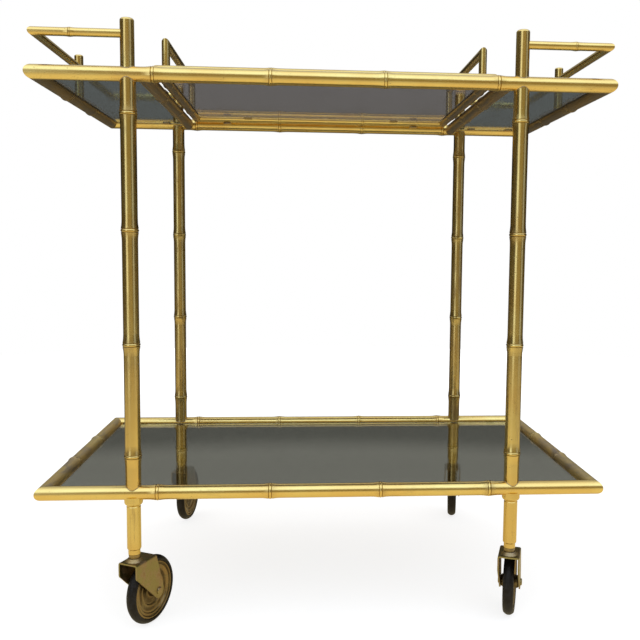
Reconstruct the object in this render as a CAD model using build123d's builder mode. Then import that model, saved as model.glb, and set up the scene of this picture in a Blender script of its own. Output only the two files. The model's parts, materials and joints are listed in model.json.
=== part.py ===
from build123d import *
from math import cos, radians, sin
import os

# Two-tier brass serving cart in faux bamboo tube, with smoked glass and a tray that lifts off.
# All sizes are in millimetres. +X is the cart's right, +Y its back, +Z up.

# ---- driving dimensions ----
frame_width = 708.0          # over the outer corners of both tiers
frame_depth = 404.0
rail_radius = 8.8            # tube of the two tiers
rail_wall = 1.2
tier_gap = 504.8             # lower rail centre line to upper rail centre line
lower_z = 179.1              # lower rail centre line above the floor
leg_x = 237.0                # legs stand this far either side of the middle
leg_inset = 1.8              # legs, stubs and feet stand this far inside the long rails' centre lines
leg_radius = 9.5
leg_end_gap = 3.0            # legs and stubs stop this far from the rails' centre lines, clear of the glass
stub_radius = 8.3            # short posts above the upper rails
stub_height = 64.5           # above the upper rail centre line
node_pitch = 138.0           # bamboo rings on the long rails and the legs
side_node_y = 60.0           # bamboo rings on the short rails and cross tubes, either side of the middle
cross_x = 220.0              # tubes along the inner edges of the wing glasses
cross_radius = 8.5
thin_wall = 1.0              # tray, galleries and handles
gallery_radius = 5.0
gallery_height = 47.0        # gallery centre line above the upper rail centre line
gallery_node_x = 303.0
gallery_post_radius = 6.0
tray_radius = 6.5
tray_lift = 8.5              # tray rail centre line above the upper rail centre line
tray_end_x = 204.5           # tray end tubes either side of the middle
tray_node_y = 100.0          # bamboo rings on the tray's end tubes
tray_side_y = 175.0          # tray front and rear tubes either side of the middle
handle_radius = 5.2
handle_post_y = 118.0
handle_height = 55.0         # handle centre line above the upper rail centre line
shelf_glass_thickness = 4.5
glass_edge_gap = 0.4         # between the glass and the widest ring of a tube
tab_width = 12.0
tab_reach = 13.0             # how far a tab stands in from a rail's inner face
tab_thickness = 1.5
wheel_radius = 43.0
tyre_half_width = 6.8
caster_trail = 31.0          # stem axis to axle
foot_radius = 8.6
foot_end_z = 101.2           # lower end of the foot tube
fork_top_z = 92.0
fork_width = 27.5
fork_sheet = 1.8
fork_front = 13.6            # top plate ahead of the stem axis
fork_back = 26.0             # top plate behind the stem axis
stem_radius = 4.0
axle_radius = 3.0
running_clearance = 0.05     # radial, between a shaft and its bore
rest_gap = 0.3               # between the tray and what it rests on

# Casters as (name, side in x, side in y, swivel in degrees from straight back towards +X).
casters = [
    ("front_left", -1, -1, 26.0),
    ("front_right", 1, -1, 19.0),
    ("rear_left", -1, 1, 11.0),
    ("rear_right", 1, 1, 10.0),
]

# ---- bamboo ring, as shares of the tube's radius ----
ring_reach = 1.4             # half length of the swelling
ring_lip = 0.25              # half width of the bead and its grooves
ring_groove_width = 0.05
ring_swell = 0.1
ring_groove = 0.025
ring_bead = 0.13

# ---- derived places ----
upper_z = lower_z + tier_gap
tray_z = upper_z + tray_lift
rail_half_x = frame_width / 2 - rail_radius
rail_half_y = frame_depth / 2 - rail_radius
leg_half_y = rail_half_y - leg_inset
bead_radius = rail_radius * (1 + ring_bead)
tyre_core_radius = wheel_radius - tyre_half_width
# The origin is the middle of the footprint on the floor, so the rear wheels' reach sets the frame forward.
# In front, the corners of the turned fork plates reach furthest.
rear_reach = max(
    leg_half_y + (caster_trail + tyre_core_radius) * cos(radians(swivel)) + tyre_half_width
    for name, side_x, side_y, swivel in casters if side_y > 0
)
front_reach = max(
    leg_half_y + fork_front * cos(radians(swivel)) + fork_width / 2 * sin(radians(swivel))
    for name, side_x, side_y, swivel in casters if side_y < 0
)
mid_y = (front_reach - rear_reach) / 2
front_y = mid_y - rail_half_y
rear_y = mid_y + rail_half_y
leg_front_y = mid_y - leg_half_y
leg_rear_y = mid_y + leg_half_y

X = Vector(1, 0, 0)
Y = Vector(0, 1, 0)
Z = Vector(0, 0, 1)

os.makedirs("parts", exist_ok=True)


def save(piece, label):
    piece.part.label = label
    export_step(piece.part, "parts/" + label + ".step")


def ring_edges(place, radius):
    """Draws one bamboo ring on a line that runs along x at the tube's radius."""
    reach = ring_reach * radius
    lip = ring_lip * radius
    groove_x = lip - ring_groove_width * radius
    top = radius * (1 + ring_swell)
    low = radius * (1 + ring_groove)
    TangentArc((place - reach, radius), (place - lip, top), tangent=(1, 0))
    Line((place - lip, top), (place - groove_x, low))
    ThreePointArc((place - groove_x, low), (place, radius * (1 + ring_bead)), (place + groove_x, low))
    Line((place + groove_x, low), (place + lip, top))
    TangentArc((place + reach, radius), (place + lip, top), tangent=(-1, 0))


def bamboo(start, end, radius, wall=0.0, rings=(), start_meets=None, end_meets=None, cutters=()):
    """A straight tube from start to end, solid where wall is 0, with bamboo rings at distances from start.

    start_meets and end_meets are the directions in which a mitred neighbour leaves that corner.
    cutters are solids that the tube's ends are saddled onto.
    """
    start, end = Vector(*start), Vector(*end)
    along = (end - start).normalized()
    length = (end - start).length
    first = -radius if start_meets else 0.0
    last = length + radius if end_meets else length
    across = Y if abs(along.X) > 0.5 else X
    inner = radius - wall if wall else 0.0
    with BuildPart() as tube:
        with BuildSketch(Plane(origin=start, x_dir=along, z_dir=along.cross(across))):
            with BuildLine():
                here = first
                for place in rings:
                    Line((here, radius), (place - ring_reach * radius, radius))
                    ring_edges(place, radius)
                    here = place + ring_reach * radius
                Line((here, radius), (last, radius))
                Polyline((last, radius), (last, inner), (first, inner), (first, radius))
            make_face()
        revolve(axis=Axis(start, along))
        if start_meets:
            split(bisect_by=Plane(origin=start, z_dir=along - start_meets), keep=Keep.TOP)
        if end_meets:
            split(bisect_by=Plane(origin=end, z_dir=-along - end_meets), keep=Keep.TOP)
        for cutter in cutters:
            add(cutter.part, mode=Mode.SUBTRACT)
    return tube


def domed_post(x, y, low, high, radius, wall, cutters):
    """An upright tube with a closed, rounded top, its foot saddled onto a rail."""
    crown = radius * 0.35
    with BuildPart() as post:
        with BuildSketch(Plane(origin=(x, y, 0), x_dir=X, z_dir=-Y)):
            with BuildLine():
                FilletPolyline((radius, low), (radius, high), (0, high), radius=crown)
                Polyline(
                    (0, high),
                    (0, high - wall),
                    (radius - crown, high - wall),
                    (radius - wall, high - crown),
                    (radius - wall, low),
                    (radius, low),
                )
            make_face()
        revolve(axis=Axis((x, y, 0), Z))
        for cutter in cutters:
            add(cutter.part, mode=Mode.SUBTRACT)
    return post


def glass_plate(low_x, high_x, half_y, bottom_z, thickness):
    """A flat pane with softened edges, centred on the cart's middle in y."""
    with BuildPart() as pane:
        with BuildSketch(Plane(origin=((low_x + high_x) / 2, mid_y, bottom_z))):
            RectangleRounded(high_x - low_x, 2 * half_y, 3)
        extrude(amount=thickness)
        fillet(pane.faces().filter_by(Axis.Z).edges(), radius=thickness * 0.2)
    return pane


# ---- the two tiers' rails ----
long_rings = [rail_half_x + node_pitch * step for step in (-1.5, -0.5, 0.5, 1.5)]
side_rings = [rail_half_y - side_node_y, rail_half_y + side_node_y]
rail_rods = {}
for tier, z in (("lower", lower_z), ("upper", upper_z)):
    for place, y, inward in (("front", front_y, Y), ("rear", rear_y, -Y)):
        ends = ((-rail_half_x, y, z), (rail_half_x, y, z))
        rail = bamboo(*ends, rail_radius, rail_wall, long_rings, inward, inward)
        save(rail, tier + "_" + place + "_rail")
        rail_rods[tier, place] = bamboo(*ends, rail_radius, rings=long_rings)
    for place, x, inward in (("left", -rail_half_x, X), ("right", rail_half_x, -X)):
        ends = ((x, front_y, z), (x, rear_y, z))
        rail = bamboo(*ends, rail_radius, rail_wall, side_rings, inward, inward)
        save(rail, tier + "_" + place + "_rail")
        rail_rods[tier, place] = bamboo(*ends, rail_radius, rings=side_rings)

# ---- legs between the tiers, and the stub posts that carry on above ----
leg_low_z = lower_z + leg_end_gap
leg_high_z = upper_z - leg_end_gap
leg_rings = [(leg_high_z - leg_low_z) / 2 + node_pitch * step for step in (-1.5, -0.5, 0.5, 1.5)]
stub_rods = {}
for name, side_x, side_y, swivel in casters:
    x = side_x * leg_x
    y = leg_front_y if side_y < 0 else leg_rear_y
    place = "front" if side_y < 0 else "rear"
    seats = [rail_rods["lower", place], rail_rods["upper", place]]
    leg = bamboo((x, y, leg_low_z), (x, y, leg_high_z), leg_radius, rail_wall, leg_rings, cutters=seats)
    save(leg, "leg_" + name)
    stub = domed_post(x, y, upper_z + leg_end_gap, upper_z + stub_height, stub_radius, rail_wall, [seats[1]])
    save(stub, "stub_" + name)
    stub_rods[name] = bamboo((x, y, upper_z + leg_end_gap), (x, y, upper_z + stub_height), stub_radius)

# ---- galleries round the two ends ----
gallery_z = upper_z + gallery_height
for place, side_x in (("left", -1), ("right", 1)):
    corner_x = side_x * rail_half_x
    outward = X * side_x
    with BuildPart() as end_bars:
        for end, y, inward in (("front", leg_front_y, Y), ("rear", leg_rear_y, -Y)):
            bar = bamboo(
                (side_x * leg_x, y, gallery_z), (corner_x, y, gallery_z), gallery_radius, thin_wall,
                [gallery_node_x - leg_x], end_meets=inward, cutters=[stub_rods[end + "_" + place]],
            )
            add(bar.part)
    save(end_bars, place + "_gallery_end_bars")
    side_ends = ((corner_x, leg_front_y, gallery_z), (corner_x, leg_rear_y, gallery_z))
    side_bar = bamboo(*side_ends, gallery_radius, thin_wall, start_meets=-outward, end_meets=-outward)
    save(side_bar, place + "_gallery_side_bar")

with BuildPart() as gallery_posts:
    for place, x in (("left", -rail_half_x), ("right", rail_half_x)):
        bar_rod = bamboo((x, leg_front_y, gallery_z), (x, leg_rear_y, gallery_z), gallery_radius)
        post = domed_post(
            x, mid_y, upper_z, upper_z + stub_height, gallery_post_radius, thin_wall,
            [rail_rods["upper", place], bar_rod],
        )
        add(post.part)
save(gallery_posts, "gallery_posts")

# ---- cross tubes either side of the tray ----
for place, x in (("left", -cross_x), ("right", cross_x)):
    cross_seats = [rail_rods["upper", "front"], rail_rods["upper", "rear"]]
    cross_tube = bamboo(
        (x, front_y, upper_z), (x, rear_y, upper_z), cross_radius, rail_wall, side_rings,
        cutters=cross_seats,
    )
    save(cross_tube, place + "_cross_tube")

# ---- smoked glass of the lower shelf and of the two wings ----
clear_x = rail_half_x - bead_radius - glass_edge_gap
clear_y = rail_half_y - bead_radius - glass_edge_gap
wing_inner_x = cross_x + cross_radius * (1 + ring_bead) + glass_edge_gap
shelf_glass_z = lower_z - shelf_glass_thickness
save(glass_plate(-clear_x, clear_x, clear_y, shelf_glass_z, shelf_glass_thickness), "lower_shelf_glass")
wing_glass_z = upper_z - 0.5
save(glass_plate(-clear_x, -wing_inner_x, clear_y, wing_glass_z, shelf_glass_thickness), "left_wing_glass")
save(glass_plate(wing_inner_x, clear_x, clear_y, wing_glass_z, shelf_glass_thickness), "right_wing_glass")

# ---- brass tabs brazed to the front and rear rails: under the glass, and under the tray ----
def tab_row(side_x, top_z):
    """The places of four tabs, one near each corner of what they carry."""
    return [(x, side_y, top_z) for x in side_x for side_y in (-1, 1)]


def tabs(places, rail_axis_y, rail_tube_radius, rods):
    """Tabs with rounded noses, each standing in from the rail on its side of the cart."""
    length = rail_tube_radius + tab_reach
    with BuildPart() as row:
        for x, side_y, top_z in places:
            middle_y = mid_y + side_y * (rail_axis_y - length / 2)
            with BuildSketch(Plane(origin=(x, middle_y, top_z - tab_thickness))):
                RectangleRounded(tab_width, length, tab_width * 0.3)
            extrude(amount=tab_thickness)
        for rod in rods:
            add(rod.part, mode=Mode.SUBTRACT)
    return row


shelf_tab_x = 300.0
wing_tab_x = (254.0, 318.0)
tray_rest_x = 155.0
tray_rest_z = tray_z - tray_radius - rest_gap
frame_tab_places = (
    tab_row((-shelf_tab_x, shelf_tab_x), shelf_glass_z)
    + tab_row((-wing_tab_x[1], -wing_tab_x[0], wing_tab_x[0], wing_tab_x[1]), wing_glass_z)
    + tab_row((-tray_rest_x, tray_rest_x), tray_rest_z)
)
long_rods = [rail_rods[tier, place] for tier in ("lower", "upper") for place in ("front", "rear")]
save(tabs(frame_tab_places, rail_half_y, rail_radius, long_rods), "frame_tabs")

# ---- the tray that lifts off ----
tray_front_y = mid_y - tray_side_y
tray_rear_y = mid_y + tray_side_y
tray_long_rings = [tray_end_x - node_pitch / 2, tray_end_x + node_pitch / 2]
tray_end_rings = [tray_side_y - tray_node_y, tray_side_y + tray_node_y]
tray_rods = {}
for place, y, inward in (("front", tray_front_y, Y), ("rear", tray_rear_y, -Y)):
    ends = ((-tray_end_x, y, tray_z), (tray_end_x, y, tray_z))
    tray_rail = bamboo(*ends, tray_radius, thin_wall, tray_long_rings, inward, inward)
    save(tray_rail, "tray_" + place + "_rail")
    tray_rods[place] = bamboo(*ends, tray_radius, rings=tray_long_rings)
for place, x, inward in (("left", -tray_end_x, X), ("right", tray_end_x, -X)):
    ends = ((x, tray_front_y, tray_z), (x, tray_rear_y, tray_z))
    tray_rail = bamboo(*ends, tray_radius, thin_wall, tray_end_rings, inward, inward)
    save(tray_rail, "tray_" + place + "_rail")
    tray_rods[place] = bamboo(*ends, tray_radius, rings=tray_end_rings)

tray_bead = tray_radius * (1 + ring_bead)
tray_clear_x = tray_end_x - tray_bead - glass_edge_gap
tray_clear_y = tray_side_y - tray_bead - glass_edge_gap
tray_glass_thickness = 4.0
tray_glass_z = tray_z - 0.5
save(glass_plate(-tray_clear_x, tray_clear_x, tray_clear_y, tray_glass_z, tray_glass_thickness), "tray_glass")

tray_tab_x = 120.0
tray_tab_places = tab_row((-tray_tab_x, tray_tab_x), tray_glass_z)
save(tabs(tray_tab_places, tray_side_y, tray_radius, [tray_rods["front"], tray_rods["rear"]]), "tray_tabs")

handle_z = upper_z + handle_height
handle_ends_y = (mid_y - handle_post_y, mid_y + handle_post_y)
with BuildPart() as handle_posts:
    for place, x in (("left", -tray_end_x), ("right", tray_end_x)):
        for y, inward in zip(handle_ends_y, (Y, -Y)):
            post = bamboo(
                (x, y, tray_z), (x, y, handle_z), handle_radius, thin_wall,
                end_meets=inward, cutters=[tray_rods[place]],
            )
            add(post.part)
save(handle_posts, "handle_posts")
for place, x in (("left", -tray_end_x), ("right", tray_end_x)):
    bar_ends = ((x, handle_ends_y[0], handle_z), (x, handle_ends_y[1], handle_z))
    handle_bar = bamboo(*bar_ends, handle_radius, thin_wall, start_meets=-Z, end_meets=-Z)
    save(handle_bar, place + "_handle_bar")

# ---- feet: flared collar, tube, and a neck that holds the caster stem ----
collar_radius = 11.2
collar_z = lower_z - rail_radius - 6.5
foot_top_z = lower_z - 5.0   # clear of the lower glass
neck_radius = 7.3
neck_z = foot_end_z + 5.7
socket_top_z = foot_end_z + 32.0
stem_top_z = foot_end_z + 30.0
foot_bore_radius = foot_radius - rail_wall


def foot(x, y, rail_rod):
    with BuildPart() as foot_tube:
        with BuildSketch(Plane(origin=(x, y, 0), x_dir=X, z_dir=-Y)):
            with BuildLine():
                Line((collar_radius, foot_top_z), (collar_radius, collar_z + 3.5))
                TangentArc((collar_radius, collar_z + 3.5), (foot_radius + 0.5, collar_z), tangent=(0, -1))
                Polyline(
                    (foot_radius + 0.5, collar_z),
                    (foot_radius - 0.4, collar_z - 0.8),
                    (foot_radius - 0.4, collar_z - 1.8),
                    (foot_radius, collar_z - 2.4),
                    (foot_radius, neck_z + 2.5),
                )
                TangentArc((foot_radius, neck_z + 2.5), (neck_radius, neck_z), tangent=(0, -1))
                Polyline(
                    (neck_radius, neck_z),
                    (neck_radius, foot_end_z),
                    (stem_radius + running_clearance, foot_end_z),
                    (stem_radius + running_clearance, socket_top_z),
                    (foot_bore_radius, socket_top_z),
                    (foot_bore_radius, foot_top_z),
                    (collar_radius, foot_top_z),
                )
            make_face()
        revolve(axis=Axis((x, y, 0), Z))
        add(rail_rod.part, mode=Mode.SUBTRACT)
    return foot_tube


# ---- casters: stem, fork, axle, wheel disc and tyre ----
def stem(x, y):
    """Riveted through the fork's top plate, with a conical boss and a cupped bearing ring under the foot."""
    tail_z = fork_top_z - fork_sheet - 1.0
    ring_z = fork_top_z + 4.2
    with BuildPart() as stem_pin:
        with BuildSketch(Plane(origin=(x, y, 0), x_dir=X, z_dir=-Y)):
            with BuildLine():
                Polyline(
                    (0, tail_z),
                    (stem_radius + 1.0, tail_z),
                    (stem_radius + 1.0, fork_top_z - fork_sheet),
                    (stem_radius, fork_top_z - fork_sheet),
                    (stem_radius, fork_top_z),
                    (11.0, fork_top_z),
                    (11.0, fork_top_z + 0.3),
                    (7.6, fork_top_z + 3.8),
                    (5.8, fork_top_z + 3.8),
                    (5.8, ring_z),
                    (6.4, ring_z),
                )
                ThreePointArc((6.4, ring_z), (6.85, ring_z + 2.2), (7.0, ring_z + 4.4))
                Polyline(
                    (7.0, ring_z + 4.4),
                    (5.6, ring_z + 4.4),
                    (5.6, foot_end_z - rest_gap),
                    (stem_radius, foot_end_z - rest_gap),
                    (stem_radius, stem_top_z - 1.5),
                    (stem_radius - 1.5, stem_top_z),
                    (0, stem_top_z),
                    (0, tail_z),
                )
            make_face()
        revolve(axis=Axis((x, y, 0), Z))
    return stem_pin


def fork(side_plane, stem_place):
    """A U bent from sheet. In side_plane x runs back along the trail, y is up and z lies along the axle."""
    lobe_radius = 9.3
    shoulder_radius = 5.0
    shoulder_z = 76.0
    with BuildPart() as bracket:
        with BuildSketch(side_plane.offset(-fork_width / 2)):
            with Locations((caster_trail, wheel_radius)):
                Circle(lobe_radius)
            with Locations((shoulder_radius - fork_front, shoulder_z)):
                Circle(shoulder_radius)
            with Locations(((fork_back - fork_front) / 2, fork_top_z - 1)):
                Rectangle(fork_front + fork_back, 2)
            make_hull()
        extrude(amount=fork_width)
        top_edges = bracket.faces().sort_by(Axis.Z)[-1].edges()
        fillet(top_edges.filter_by(Axis(stem_place, side_plane.x_dir)), radius=2.4)
        with BuildSketch(side_plane.offset(-fork_width / 2 + fork_sheet)):
            with Locations(((fork_back - fork_front) / 2 + 10, (fork_top_z - fork_sheet) / 2)):
                Rectangle(fork_front + fork_back + 60, fork_top_z - fork_sheet)
        extrude(amount=fork_width - 2 * fork_sheet, mode=Mode.SUBTRACT)
        with BuildSketch(side_plane.offset(-fork_width / 2)):
            with Locations((caster_trail, wheel_radius)):
                Circle(axle_radius)
        extrude(amount=fork_width, mode=Mode.SUBTRACT)
        with BuildSketch(Plane(origin=stem_place)):
            Circle(stem_radius)
        extrude(amount=2 * fork_top_z, mode=Mode.SUBTRACT)
    return bracket


def turned_on_axle(wheel_plane, outline):
    """Revolves an outline about the axle. In wheel_plane x lies along the axle and y is the radius."""
    with BuildPart() as turned:
        with BuildSketch(wheel_plane):
            with BuildLine():
                outline()
            make_face()
        revolve(axis=Axis(wheel_plane.origin, wheel_plane.x_dir))
    return turned


def axle_outline():
    """A rivet with a rounded head against each side of the fork."""
    half = fork_width / 2
    nose = half + 2.0
    head_radius = axle_radius + 1.6
    edge = 1.5
    FilletPolyline((-nose, 0), (-nose, head_radius), (-half, head_radius), radius=edge)
    Polyline((-half, head_radius), (-half, axle_radius), (half, axle_radius), (half, head_radius))
    FilletPolyline((half, head_radius), (nose, head_radius), (nose, 0), radius=edge)
    Line((nose, 0), (-nose, 0))


hub_half = fork_width / 2 - fork_sheet - 0.5
rim_radius = 35.5
disc_face = [
    (hub_half, 7.0), (hub_half - 1.2, 8.2), (3.4, 9.0), (2.2, 12.0), (2.2, 18.5), (3.8, 20.0), (4.2, 21.5),
    (3.4, 23.0), (3.8, 28.5), (5.2, 30.0), (5.5, 31.2), (4.9, 32.4), (4.9, 33.2), (6.3, 34.2), (6.3, 35.2),
    (5.6, 36.4), (4.6, 36.4), (4.6, rim_radius),
]


def disc_outline():
    bore = axle_radius + running_clearance
    Polyline(
        (-hub_half, bore), (hub_half, bore), *disc_face,
        *[(-along, radius) for along, radius in reversed(disc_face)], (-hub_half, bore),
    )


def tyre_outline():
    low = rim_radius
    half_seat = 4.6
    shoulder = 36.4
    Polyline((-half_seat, low), (half_seat, low), (half_seat, shoulder), (tyre_half_width - 0.4, shoulder))
    widest = tyre_core_radius + 1.0
    tread = (5.2, wheel_radius - 2.1)
    tread_end = (-tread[0], tread[1])
    side = tyre_half_width - 0.4
    ThreePointArc((side, shoulder), (tyre_half_width, widest), tread)
    ThreePointArc(tread, (0, wheel_radius), tread_end)
    ThreePointArc(tread_end, (-tyre_half_width, widest), (-side, shoulder))
    Polyline((-side, shoulder), (-half_seat, shoulder), (-half_seat, low))


for name, side_x, side_y, swivel in casters:
    x = side_x * leg_x
    y = leg_front_y if side_y < 0 else leg_rear_y
    trail_direction = Vector(sin(radians(swivel)), cos(radians(swivel)), 0)
    axle_direction = trail_direction.cross(Z)
    side_plane = Plane(origin=(x, y, 0), x_dir=trail_direction, z_dir=axle_direction)
    axle_place = Vector(x, y, wheel_radius) + trail_direction * caster_trail
    wheel_plane = Plane(origin=axle_place, x_dir=axle_direction, z_dir=axle_direction.cross(Z))
    save(foot(x, y, rail_rods["lower", "front" if side_y < 0 else "rear"]), "foot_" + name)
    save(stem(x, y), "caster_stem_" + name)
    save(fork(side_plane, Vector(x, y, 0)), "caster_fork_" + name)
    save(turned_on_axle(wheel_plane, axle_outline), "caster_axle_" + name)
    save(turned_on_axle(wheel_plane, disc_outline), "wheel_disc_" + name)
    save(turned_on_axle(wheel_plane, tyre_outline), "tyre_" + name)
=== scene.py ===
import json
from math import cos, radians, sin, sqrt, tau

import bmesh
import bpy
from mathutils import Matrix, Vector


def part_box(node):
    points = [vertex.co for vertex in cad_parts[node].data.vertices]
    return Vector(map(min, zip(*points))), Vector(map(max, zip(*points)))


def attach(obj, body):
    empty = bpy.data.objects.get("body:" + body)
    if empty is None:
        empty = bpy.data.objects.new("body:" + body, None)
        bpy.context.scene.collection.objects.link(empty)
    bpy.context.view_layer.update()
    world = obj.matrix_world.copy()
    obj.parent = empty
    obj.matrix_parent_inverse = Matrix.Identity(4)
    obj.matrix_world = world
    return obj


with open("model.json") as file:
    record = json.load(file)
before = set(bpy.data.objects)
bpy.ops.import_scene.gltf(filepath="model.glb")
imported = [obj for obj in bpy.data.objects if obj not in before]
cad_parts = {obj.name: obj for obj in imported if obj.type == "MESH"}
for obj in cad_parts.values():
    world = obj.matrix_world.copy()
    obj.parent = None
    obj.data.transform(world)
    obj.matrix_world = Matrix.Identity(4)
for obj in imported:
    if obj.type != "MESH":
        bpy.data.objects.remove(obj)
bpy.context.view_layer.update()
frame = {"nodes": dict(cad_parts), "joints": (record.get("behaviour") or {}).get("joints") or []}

# The cart is in metres, in the row's frame: +X right, +Y back, +Z up, the floor at z = 0.

MM = 0.001
X, Y, Z = 0, 1, 2


def middle(node):
    low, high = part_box(node)
    return (low + high) / 2


frame_middle = middle("lower_shelf_glass")
lower_z = middle("lower_front_rail").z
upper_z = middle("upper_front_rail").z
tray_z = middle("tray_front_rail").z
joints = {joint["name"]: joint for joint in frame["joints"]}
corners = ["front_left", "front_right", "rear_left", "rear_right"]


# ---------------------------------------------------------------- node trees
class Shader:
    """Short names for building one node tree."""

    def __init__(self, tree):
        self.tree = tree

    def node(self, kind, *values, **settings):
        made = self.tree.nodes.new("ShaderNode" + kind)
        for key, value in settings.items():
            setattr(made, key, value)
        for socket, value in zip(made.inputs, values):
            self.feed(socket, value)
        return made

    def feed(self, socket, value):
        if isinstance(value, bpy.types.NodeSocket):
            self.tree.links.new(value, socket)
        elif value is not None:
            socket.default_value = value

    def calc(self, operation, *values):
        return self.node("Math", *values, operation=operation).outputs[0]

    def mul(self, a, b):
        return self.calc("MULTIPLY", a, b)

    def plus(self, a, b):
        return self.calc("ADD", a, b)

    def most(self, a, b):
        return self.calc("MAXIMUM", a, b)

    def flip(self, value):
        return self.calc("SUBTRACT", 1.0, value)

    def rise(self, value, low, high, bottom=0.0, top=1.0):
        """Goes smoothly from bottom to top as value goes from low to high."""
        made = self.node("MapRange", value, low, high, bottom, top, interpolation_type="SMOOTHSTEP")
        return made.outputs[0]

    def window(self, value, centre, half, soft):
        """1 within half of centre, falling to 0 over soft."""
        away = self.calc("ABSOLUTE", self.calc("SUBTRACT", value, centre))
        return self.rise(away, half, half + soft, 1.0, 0.0)

    def stretch(self, place, factors, shift=(0, 0, 0)):
        made = self.node("VectorMath", place, factors, shift, operation="MULTIPLY_ADD")
        return made.outputs[0]

    def noise(self, place, scale, detail=3.0, rough=0.55, warp=0.0):
        made = self.node("TexNoise")
        settings = {"Vector": place, "Scale": scale, "Detail": detail, "Roughness": rough, "Distortion": warp}
        for name, value in settings.items():
            self.feed(made.inputs[name], value)
        return made.outputs[0]

    def mix(self, factor, a, b):
        made = self.node("Mix", data_type="RGBA")
        for index, value in ((0, factor), (6, a), (7, b)):
            self.feed(made.inputs[index], value)
        return made.outputs[2]

    def split(self, place):
        return self.node("SeparateXYZ", place).outputs


class Material(Shader):
    """A node material on one Principled surface."""

    def __init__(self, name, sockets=None):
        self.material = bpy.data.materials.new(name)
        self.material.use_nodes = True
        super().__init__(self.material.node_tree)
        self.surface = self.tree.nodes["Principled BSDF"]
        self.place = self.node("TexCoord").outputs["Object"]
        for key, value in (sockets or {}).items():
            self.set(key, value)

    def set(self, socket, value):
        self.feed(self.surface.inputs[socket], value)

    def bump(self, height, depth):
        """height runs from 0 to 1, and depth is what that comes to, in metres."""
        made = self.node("Bump")
        made.inputs["Distance"].default_value = depth
        self.feed(made.inputs["Height"], height)
        self.set("Normal", made.outputs["Normal"])


def rgb(red, green, blue):
    return (red, green, blue, 1.0)


# ---------------------------------------------------------------- brass
BRASS = rgb(0.87, 0.64, 0.20)
BRASS_WARM = rgb(0.84, 0.57, 0.165)
TARNISH = rgb(0.36, 0.225, 0.08)
GRIME = rgb(0.05, 0.034, 0.014)
DULL_BRASS = rgb(0.42, 0.32, 0.20)
# Painted shade: an even dark brown that darkens tubes as if they reflected dim surroundings.
PAINTED_SHADE_BROWN = rgb(0.15, 0.105, 0.045)
FORK_OLIVE = rgb(0.32, 0.27, 0.105)
DISC_BROWN = rgb(0.24, 0.175, 0.075)


def ring_distance(shader, along, rings):
    """Distance along a tube to its nearest bamboo ring.

    rings is (centre, gap, four): rings lie gap either side of centre, and at 3 gaps as well if four.
    """
    centre, gap, four = rings
    out = shader.calc("ABSOLUTE", shader.calc("SUBTRACT", along, centre))
    if four:
        out = shader.calc("ABSOLUTE", shader.calc("SUBTRACT", out, 2 * gap))
    return shader.calc("ABSOLUTE", shader.calc("SUBTRACT", out, gap))


def brass(name, axis, radius, rings=None, age=0.35, seed=0.0, dull=0.0, axis_z=None, painted_shade=0.0):
    """Drawn and polished tube that runs along axis, tarnished by age from 0 to 1 and dulled by dull.

    axis_z is the height of a level tube's axis: its underside is more pitted and tarnished.
    The last argument is the share of an even dark brown laid over all of it: painted shade, standing in for the
    dim surroundings that the tube reflects.
    """
    m = Material(name, {"Metallic": 1.0})
    run = [1.0, 1.0, 1.0]
    run[axis] = 0.045
    moved = m.stretch(m.place, (1, 1, 1), (seed, seed * 1.7, seed * 0.6))
    drawn = m.stretch(moved, tuple(run))
    run[axis] = 0.25
    cloudy = m.stretch(moved, tuple(run))
    streaks = m.noise(drawn, 620.0, 3.0, 0.6)
    patches = m.noise(cloudy, 55.0, 5.0, 0.62, 0.4)
    clouds = m.noise(moved, 16.0, 3.0, 0.5)
    grain = m.noise(moved, 1400.0, 2.0, 0.6)
    specks = m.rise(m.noise(moved, 700.0, 2.0, 0.5), 0.63, 0.72)
    speckled = m.rise(m.noise(moved, 60.0, 2.0, 0.5), 0.48, 0.62)
    under = 0.0
    if axis_z is not None:
        under = m.rise(m.split(m.place)[Z], axis_z - 0.95 * radius, axis_z - 0.25 * radius, 1.0, 0.0)
    worn = m.plus(m.mul(patches, 0.65), m.plus(m.mul(streaks, 0.35), m.mul(under, 0.05)))
    tarnish = m.rise(worn, 0.62 - 0.2 * age, 0.8 - 0.16 * age)
    tarnish = m.mul(tarnish, 0.35 + 0.65 * age)
    grime = m.mul(m.mul(specks, m.most(speckled, under)), 0.3 + 0.7 * age)
    if rings:
        away = ring_distance(m, m.split(m.place)[axis], rings)
        groove = m.window(away, 0.225 * radius, 0.01 * radius, 0.05 * radius)
        bead = m.rise(away, 0.16 * radius, 0.24 * radius, 1.0, 0.0)
        halo = m.mul(m.rise(away, 0.3 * radius, 1.3 * radius, 1.0, 0.0), m.rise(patches, 0.45, 0.65))
        tarnish = m.most(tarnish, m.mul(halo, 0.4))
        tarnish = m.mul(tarnish, m.flip(m.mul(bead, 0.8)))
        grime = m.most(grime, m.mul(groove, m.plus(0.2, m.mul(patches, 0.5))))
    body = m.mix(m.rise(clouds, 0.35, 0.65), BRASS, BRASS_WARM)
    if dull:
        body = m.mix(m.rise(patches, 0.3, 0.62, 1.0, 1.0 - dull), body, DULL_BRASS)
    # Painted shade: the even dark brown, by the last argument's share, darkens the whole tube.
    if painted_shade:
        body = m.mix(painted_shade, body, PAINTED_SHADE_BROWN)
    body = m.mix(tarnish, body, TARNISH)
    m.set("Base Color", m.mix(grime, body, GRIME))
    rough = m.plus(0.16 + 0.3 * dull, m.mul(streaks, 0.12))
    rough = m.plus(rough, m.mul(tarnish, 0.25))
    rough = m.plus(rough, m.mul(grime, 0.3))
    if rings:
        rough = m.mul(rough, m.flip(m.mul(bead, 0.5)))
    m.set("Roughness", rough)
    height = m.plus(m.mul(streaks, 0.1), m.plus(m.mul(clouds, 0.9), m.mul(grain, 0.02)))
    height = m.calc("SUBTRACT", height, m.mul(grime, 0.3))
    m.bump(height, 0.00028)
    return m.material


def paint(node, material):
    slots = frame["nodes"][node].material_slots
    for slot in slots:
        slot.material = material


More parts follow.
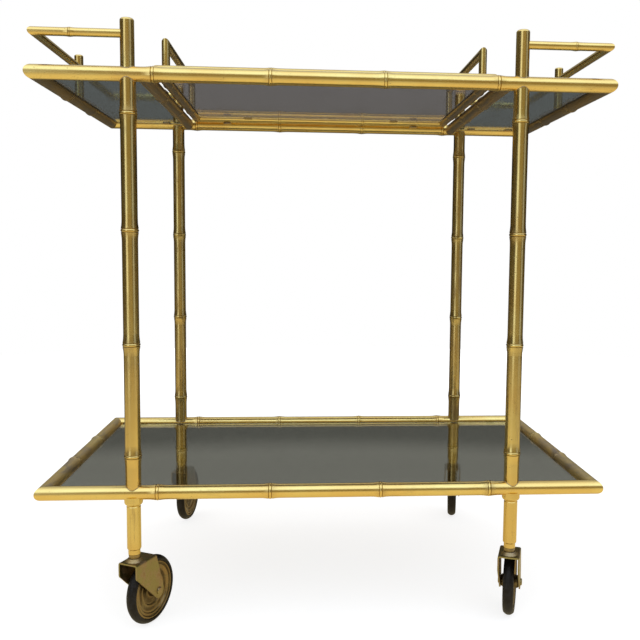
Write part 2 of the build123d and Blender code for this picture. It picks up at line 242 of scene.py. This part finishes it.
long_gap = 69 * MM
side_gap = 60 * MM
tray_gap = 100 * MM
gallery_ring_x = 303 * MM
legs_middle_z = (lower_z + upper_z) / 2
rail_radius = 8.8 * MM
leg_radius = 9.5 * MM
cross_radius = 8.5 * MM
tray_radius = 6.5 * MM
gallery_post_radius = 6 * MM
gallery_radius = 5 * MM
leg_end_gap = 3 * MM      # the legs and stubs stop this far from the rails' centre lines

x_rings = (frame_middle.x, long_gap, True)
side_rings = (frame_middle.y, side_gap, False)
tray_rings = (frame_middle.x, long_gap, False)
tray_end_rings = (frame_middle.y, tray_gap, False)
end_bar_rings = (frame_middle.x, gallery_ring_x, False)
leg_rings = (legs_middle_z, long_gap, True)

seed = 0.0
for tier in ("lower", "upper"):
    for place in ("front", "rear"):
        seed += 1.37
        level = lower_z if tier == "lower" else upper_z
        rail = brass(f"{tier} {place} rail", X, rail_radius, x_rings, 0.3, seed, 0.0, level)
        paint(f"{tier}_{place}_rail", rail)
    for place in ("left", "right"):
        seed += 1.37
        # Painted shade: the upper side rails are darkened as if reflecting the dim ground under the cart.
        dull, painted_shade = (0.85, 0.0) if tier == "lower" else (0.5, 0.5)
        rail = brass(f"{tier} {place} rail", Y, rail_radius, side_rings, 0.6, seed, dull, level, painted_shade)
        paint(f"{tier}_{place}_rail", rail)
for corner in corners:
    seed += 1.37
    # Rear legs are more tarnished. The even dark brown on the legs, more on the rear ones, and on the feet is
    # painted shade for their dimmer reflections.
    age, painted_shade = (0.5, 0.12) if corner.startswith("front") else (0.8, 0.25)
    paint("leg_" + corner, brass("leg " + corner, Z, leg_radius, leg_rings, age, seed, painted_shade=painted_shade))
    paint("stub_" + corner, brass("stub " + corner, Z, leg_radius, None, age, seed + 0.5))
    paint("foot_" + corner, brass("foot " + corner, Z, leg_radius, None, 0.4, seed + 0.9, painted_shade=0.12))
paint("gallery_posts", brass("gallery posts", Z, gallery_post_radius, None, 0.4, 3.1))
for side in ("left", "right"):
    seed += 1.37
    # Painted shade: the cross tubes and tray end rails, seen from below against the dim underside, get an even
    # dark brown.
    cross = brass(f"{side} cross tube", Y, cross_radius, side_rings, 0.75, seed, 0.3, upper_z, 0.3)
    paint(f"{side}_cross_tube", cross)
    tray_end = brass(f"tray {side} rail", Y, tray_radius, tray_end_rings, 0.6, seed + 0.3, 0.2, tray_z, 0.2)
    paint(f"tray_{side}_rail", tray_end)
    side_bar = brass(f"{side} gallery side bar", Y, gallery_radius, None, 0.35, seed + 0.6)
    paint(f"{side}_gallery_side_bar", side_bar)
    end_bars = brass(f"{side} gallery end bars", X, gallery_radius, end_bar_rings, 0.3, seed + 0.9)
    paint(f"{side}_gallery_end_bars", end_bars)
    paint(f"{side}_handle_bar", brass(f"{side} handle bar", Y, gallery_radius, None, 0.5, seed + 1.1))
for place in ("front", "rear"):
    seed += 1.37
    paint(f"tray_{place}_rail", brass(f"tray {place} rail", X, tray_radius, tray_rings, 0.4, seed))
paint("handle_posts", brass("handle posts", Z, gallery_radius, None, 0.5, 4.7))
for node in ("frame_tabs", "tray_tabs"):
    paint(node, brass(node.replace("_", " "), Y, rail_radius, None, 0.6, 6.1, 0.5))


# ---------------------------------------------------------------- casters
# The wheel disc's hollows, as (radius, half width, width of the soft edge) in mm.
DISC_GROOVES = [(33.2, 0.4, 1.0), (24.5, 1.0, 2.5), (14.0, 2.0, 4.0), (8.6, 0.3, 1.0)]


def fork_brass(corner):
    """Bent sheet, dulled to olive, specked all over and more tarnished towards the axle."""
    m = Material("fork " + corner, {"Metallic": 1.0})
    clouds = m.noise(m.place, 70.0, 5.0, 0.6, 0.5)
    fine = m.noise(m.place, 500.0, 3.0, 0.6)
    specks = m.rise(m.noise(m.place, 1100.0, 2.0), 0.64, 0.72)
    tarnish = m.rise(m.plus(m.mul(clouds, 0.8), m.mul(fine, 0.2)), 0.38, 0.66)
    low = m.rise(m.split(m.place)[Z], 30 * MM, 80 * MM, 0.55, 0.0)
    tarnish = m.most(m.mul(tarnish, 0.8), m.mul(low, m.rise(fine, 0.35, 0.6)))
    body = m.mix(m.rise(clouds, 0.45, 0.6), FORK_OLIVE, DULL_BRASS)
    body = m.mix(tarnish, body, TARNISH)
    m.set("Base Color", m.mix(m.mul(specks, 0.7), body, GRIME))
    m.set("Roughness", m.plus(m.plus(0.24, m.mul(tarnish, 0.3)), m.mul(fine, 0.12)))
    m.bump(m.plus(clouds, m.mul(fine, 0.25)), 0.0004)
    return m.material


def disc_brass(corner, axle_place, axle_axis):
    """A turned disc: fine rings round the axle, and grime in its grooves."""
    m = Material("wheel disc " + corner, {"Metallic": 1.0})
    arm = m.node("VectorMath", m.place, tuple(axle_place), operation="SUBTRACT").outputs[0]
    along = m.node("VectorMath", arm, tuple(axle_axis), operation="DOT_PRODUCT").outputs["Value"]
    length = m.node("VectorMath", arm, operation="LENGTH").outputs["Value"]
    radius = m.calc("SQRT", m.most(m.calc("SUBTRACT", m.mul(length, length), m.mul(along, along)), 0.0))
    turned = m.node("CombineXYZ", radius, m.mul(along, 0.1), 0.0).outputs[0]
    rings = m.noise(turned, 900.0, 3.0, 0.7)
    clouds = m.noise(m.place, 90.0, 4.0, 0.6, 0.5)
    grime = 0.0
    for groove, half, soft in DISC_GROOVES:
        grime = m.most(grime, m.window(radius, groove * MM, half * MM, soft * MM))
    grime = m.mul(grime, m.rise(clouds, 0.3, 0.55, 0.25, 0.65))
    tarnish = m.rise(m.plus(m.mul(clouds, 0.7), m.mul(rings, 0.3)), 0.4, 0.62)
    body = m.mix(m.mul(tarnish, 0.8), DISC_BROWN, TARNISH)
    m.set("Base Color", m.mix(grime, body, GRIME))
    m.set("Roughness", m.plus(0.26, m.plus(m.mul(tarnish, 0.22), m.mul(grime, 0.25))))
    m.bump(m.plus(m.mul(rings, 0.5), clouds), 0.00025)
    return m.material


def rubber(corner, axle_place, axle_axis):
    """Black rubber, greyed with dust and scuffed on the tread."""
    m = Material("tyre " + corner, {"Specular IOR Level": 0.25, "Specular Tint": rgb(1.0, 0.85, 0.65)})
    arm = m.node("VectorMath", m.place, tuple(axle_place), operation="SUBTRACT").outputs[0]
    reach = m.node("VectorMath", arm, operation="LENGTH").outputs["Value"]
    dust = m.noise(m.place, 120.0, 5.0, 0.65, 0.6)
    grain = m.noise(m.place, 1500.0, 2.0)
    scuffs = m.rise(m.noise(m.stretch(m.place, (1, 1, 0.3)), 420.0, 3.0, 0.6), 0.56, 0.72)
    tread = m.rise(reach, 41 * MM, 42.8 * MM)
    worn = m.most(m.mul(m.rise(dust, 0.45, 0.7), 0.35), m.mul(m.mul(scuffs, tread), 0.8))
    m.set("Base Color", m.mix(worn, rgb(0.006, 0.005, 0.004), rgb(0.035, 0.032, 0.027)))
    m.set("Roughness", m.plus(0.46, m.mul(worn, 0.4)))
    m.bump(m.plus(m.mul(grain, 0.4), m.mul(scuffs, 0.3)), 0.0002)
    return m.material


for corner in corners:
    axle_place = Vector(joints["roll_" + corner]["pos_m"])
    axle_axis = Vector(joints["roll_" + corner]["axis"]).normalized()
    fork_material = fork_brass(corner)
    paint("caster_fork_" + corner, fork_material)
    # Painted shade: a large share of even dark brown darkens the stems.
    stem_material = brass("stem " + corner, Z, gallery_post_radius, None, 0.8, 2.2, 0.75, painted_shade=0.45)
    paint("caster_stem_" + corner, stem_material)
    paint("caster_axle_" + corner, fork_material)
    paint("wheel_disc_" + corner, disc_brass(corner, axle_place, axle_axis))
    paint("tyre_" + corner, rubber(corner, axle_place, axle_axis))


# ---------------------------------------------------------------- glass
def smoked_glass(name, tint):
    """Smoked float glass with wiped smears and a little dust."""
    m = Material(name, {"Transmission Weight": 1.0, "IOR": 1.5})
    smears = m.noise(m.stretch(m.place, (1.0, 0.35, 1.0)), 22.0, 5.0, 0.6, 1.2)
    dust = m.rise(m.noise(m.place, 1300.0, 2.0), 0.7, 0.76)
    clean = rgb(*tint)
    hazy = rgb(*(0.85 * part + 0.01 for part in tint))
    m.set("Base Color", m.mix(m.mul(smears, 0.6), clean, hazy))
    m.set("Roughness", m.plus(m.rise(smears, 0.4, 0.8, 0.015, 0.07), m.mul(dust, 0.2)))
    return m.material


paint("lower_shelf_glass", smoked_glass("lower shelf glass", (0.325, 0.330, 0.275)))
wing_glass = smoked_glass("wing glass", (0.345, 0.42, 0.46))
paint("left_wing_glass", wing_glass)
paint("right_wing_glass", wing_glass)
paint("tray_glass", smoked_glass("tray glass", (0.57, 0.55, 0.58)))


# ---------------------------------------------------------------- braze at the joints
def saddle(centre, post_radius, tube_radius, tube_axis, tube_z, side, offset=0.0):
    """The closed line where an upright post meets a level tube, on its top (side 1) or underside (-1).

    offset is how far the post's axis stands to the side of the tube's, towards +X or +Y. Where the post
    is wider than the tube, the line follows the post's end instead.
    """
    steps = 56
    path = []
    for step in range(steps):
        turn = tau * step / steps
        across = offset + post_radius * (sin(turn) if tube_axis == X else cos(turn))
        rise = sqrt(max(tube_radius ** 2 - across ** 2, leg_end_gap ** 2))
        path.append(Vector((
            centre[0] + post_radius * cos(turn), centre[1] + post_radius * sin(turn), tube_z + side * rise
        )))
    return path


def add_bead(shape, path, radius):
    """Sweeps a small round bead along a closed path."""
    sides = 6
    loops = []
    for index, point in enumerate(path):
        along = (path[(index + 1) % len(path)] - path[index - 1]).normalized()
        out = along.cross(Vector((0, 0, 1))).normalized()
        up = out.cross(along)
        turns = [tau * side / sides for side in range(sides)]
        loops.append([shape.verts.new(point + radius * (cos(t) * out + sin(t) * up)) for t in turns])
    for index, loop in enumerate(loops):
        last = loops[index - 1]
        for side in range(sides):
            shape.faces.new((last[side - 1], last[side], loop[side], loop[side - 1]))


def new_piece(name, shape, body, material):
    bmesh.ops.recalc_face_normals(shape, faces=shape.faces)
    mesh = bpy.data.meshes.new(name)
    shape.to_mesh(mesh)
    shape.free()
    mesh.shade_smooth()
    mesh.materials.append(material)
    piece = bpy.data.objects.new(name, mesh)
    bpy.context.collection.objects.link(piece)
    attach(piece, body)


def build_braze():
    """Thin brazed beads round the feet of the posts and both ends of the legs."""
    # Full age darkens the braze: partly tarnish, partly painted shade standing in for the shadow in the gaps at
    # the joints.
    material = brass("braze", Z, rail_radius, None, 1.0, 8.3, 0.3)
    bead = 0.55 * MM
    frame_shape = bmesh.new()
    for corner in corners:
        low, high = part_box("leg_" + corner)
        place = ((low.x + high.x) / 2, (low.y + high.y) / 2)
        rail = "upper_front_rail" if corner.startswith("front") else "upper_rear_rail"
        offset = place[1] - middle(rail).y
        stub_low, stub_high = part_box("stub_" + corner)
        stub_radius = (stub_high.x - stub_low.x) / 2
        for post_radius, tube_z, side in (
            (leg_radius, lower_z, 1), (leg_radius, upper_z, -1), (stub_radius, upper_z, 1)
        ):
            path = saddle(place, post_radius, rail_radius, X, tube_z, side, offset)
            add_bead(frame_shape, path, bead)
    for x in (middle("upper_left_rail").x, middle("upper_right_rail").x):
        path = saddle((x, frame_middle.y), gallery_post_radius, rail_radius, Y, upper_z, 1)
        add_bead(frame_shape, path, bead)
    new_piece("frame_braze", frame_shape, "frame", material)
    tray_shape = bmesh.new()
    low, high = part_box("left_handle_bar")
    handle_radius = (high.x - low.x) / 2
    for side in ("left", "right"):
        for y in (low.y + handle_radius, high.y - handle_radius):
            path = saddle((middle(f"{side}_handle_bar").x, y), handle_radius, tray_radius, Y, tray_z, 1)
            add_bead(tray_shape, path, bead)
    new_piece("tray_braze", tray_shape, "tray", material)


build_braze()


# ---------------------------------------------------------------- stage
def emission(shader, colour, strength):
    made = shader.node("Emission", colour)
    shader.feed(made.inputs["Strength"], strength)
    return made.outputs[0]


WHITE = rgb(1.0, 1.0, 1.0)
BEHIND_GLASS = rgb(0.27, 0.27, 0.27)      # dim surroundings that the smoked glass is seen against


def build_world():
    """Open shade: a bright cool sky over the front, two bright gaps at eye level, and dim surroundings.

    The camera sees it as white, rays that come out of glass see BEHIND_GLASS, and the rest see all of it.
    """
    world = bpy.data.worlds.new("open shade")
    bpy.context.scene.world = world
    world.use_nodes = True
    s = Shader(world.node_tree)
    s.tree.nodes.clear()
    way = s.split(s.node("TexCoord").outputs["Generated"])
    front = s.mul(way[1], -1.0)
    turn = s.calc("ARCTAN2", way[0], front)
    back_sky, high_sky, front_sky = rgb(0.60, 0.65, 0.80), rgb(1.05, 1.20, 1.60), rgb(1.25, 1.55, 2.20)
    sky = s.mix(s.rise(front, -0.45, 0.05), back_sky, high_sky)
    sky = s.mix(s.rise(front, 0.0, 0.5), sky, front_sky)
    facing = s.window(turn, 0.0, radians(28), radians(24))
    level = s.mix(facing, rgb(0.075, 0.065, 0.04), rgb(0.30, 0.26, 0.15))
    left_gap = s.window(turn, radians(-33), radians(7), radians(10))
    right_gap = s.window(turn, radians(62), radians(5), radians(9))
    level = s.mix(left_gap, level, rgb(1.06, 1.24, 1.70))
    level = s.mix(right_gap, level, rgb(0.52, 0.62, 0.98))
    behind = s.mul(s.rise(front, -0.5, -0.2, 1.0, 0.0), s.rise(way[2], 0.0, 0.1))
    low_dark, above_it = rgb(0.01, 0.01, 0.012), rgb(0.25, 0.25, 0.22)
    level = s.mix(behind, level, s.mix(s.rise(way[2], 0.235, 0.26), low_dark, above_it))
    room = s.mix(s.rise(way[2], 0.38, 0.6), level, sky)
    path = s.node("LightPath").outputs
    room = s.mix(path["Is Transmission Ray"], room, BEHIND_GLASS)
    background = s.node("Background", s.mix(path["Is Camera Ray"], room, WHITE), 1.0)
    s.tree.links.new(background.outputs[0], s.node("OutputWorld").inputs[0])


def build_floor():
    """A round floor that the camera sees as pale, with a faint soft shadow.

    It glows nearly white to the camera, warm in reflections with a painted shadow that darkens it behind the
    cart, and BEHIND_GLASS through glass. Diffuse light is added to each of these.
    """
    radius = 2.6
    sink = 0.4 * MM
    mesh = bpy.data.meshes.new("floor")
    floor = bpy.data.objects.new("floor", mesh)
    bpy.context.collection.objects.link(floor)
    shape = bmesh.new()
    bmesh.ops.create_circle(shape, cap_ends=True, segments=96, radius=radius)
    shape.to_mesh(mesh)
    shape.free()
    floor.location.z = -sink
    material = bpy.data.materials.new("pale floor")
    material.use_nodes = True
    s = Shader(material.node_tree)
    s.tree.nodes.clear()
    place = s.node("TexCoord").outputs["Object"]
    away = s.node("VectorMath", place, operation="LENGTH").outputs["Value"]
    path = s.node("LightPath").outputs
    glossy = path["Is Glossy Ray"]
    shown = s.rise(away, 0.4, 2.4, 0.82, 1.02)
    shown_grey = s.node("CombineColor", shown, shown, shown).outputs[0]
    # Painted shadow: in reflections the floor dims behind the cart, standing in for the cart's shadow. This mask
    # is 1 in front and 0.2 behind.
    lit = s.rise(s.split(place)[Y], 0.1, 0.5, 1.0, 0.2)
    reflected = s.mul(s.rise(away, 0.45, 1.9, 0.56, 0.2), lit)
    reflected_warm = s.node("CombineColor", reflected, s.mul(reflected, 0.84), s.mul(reflected, 0.42)).outputs[0]
    glow = s.mix(glossy, shown_grey, reflected_warm)
    glow = emission(s, s.mix(path["Is Transmission Ray"], glow, BEHIND_GLASS), 1.0)
    # Painted shadow: in reflections the floor's diffuse colour turns this dark colour behind the cart.
    pale, painted_shade = rgb(0.42, 0.37, 0.29), rgb(0.03, 0.026, 0.02)
    matte = s.node("BsdfDiffuse", s.mix(s.mul(glossy, s.flip(lit)), pale, painted_shade)).outputs[0]
    both = s.node("AddShader", glow, matte).outputs[0]
    s.tree.links.new(both, s.node("OutputMaterial").inputs[0])
    mesh.materials.append(material)


def build_camera():
    """Stands low in front of the cart, a little left of its middle, and looks slightly right and down.

    Its place is in metres from the middle of the lower shelf, and its turns are in degrees.
    """
    left, ahead, above_shelf = 0.0303, 1.1535, 0.3051
    turn_right, look_down, lean = 4.12, 4.81, 0.58
    data = bpy.data.cameras.new("camera")
    data.lens = 44.04
    data.sensor_width = 36.0
    data.shift_x = -0.0598
    data.shift_y = -0.0121
    data.clip_start = 0.01
    data.clip_end = 100.0
    camera = bpy.data.objects.new("camera", data)
    bpy.context.collection.objects.link(camera)
    bpy.context.scene.camera = camera
    camera.location = (frame_middle.x - left, frame_middle.y - ahead, lower_z + above_shelf)
    heading = Matrix.Rotation(radians(-turn_right), 4, "Z")
    tilt = Matrix.Rotation(radians(90 - look_down), 4, "X")
    roll = Matrix.Rotation(radians(lean), 4, "Z")
    camera.rotation_mode = "QUATERNION"
    camera.rotation_quaternion = (heading @ tilt @ roll).to_quaternion()


build_world()
build_floor()
build_camera()
bpy.context.scene.view_settings.view_transform = "Standard"
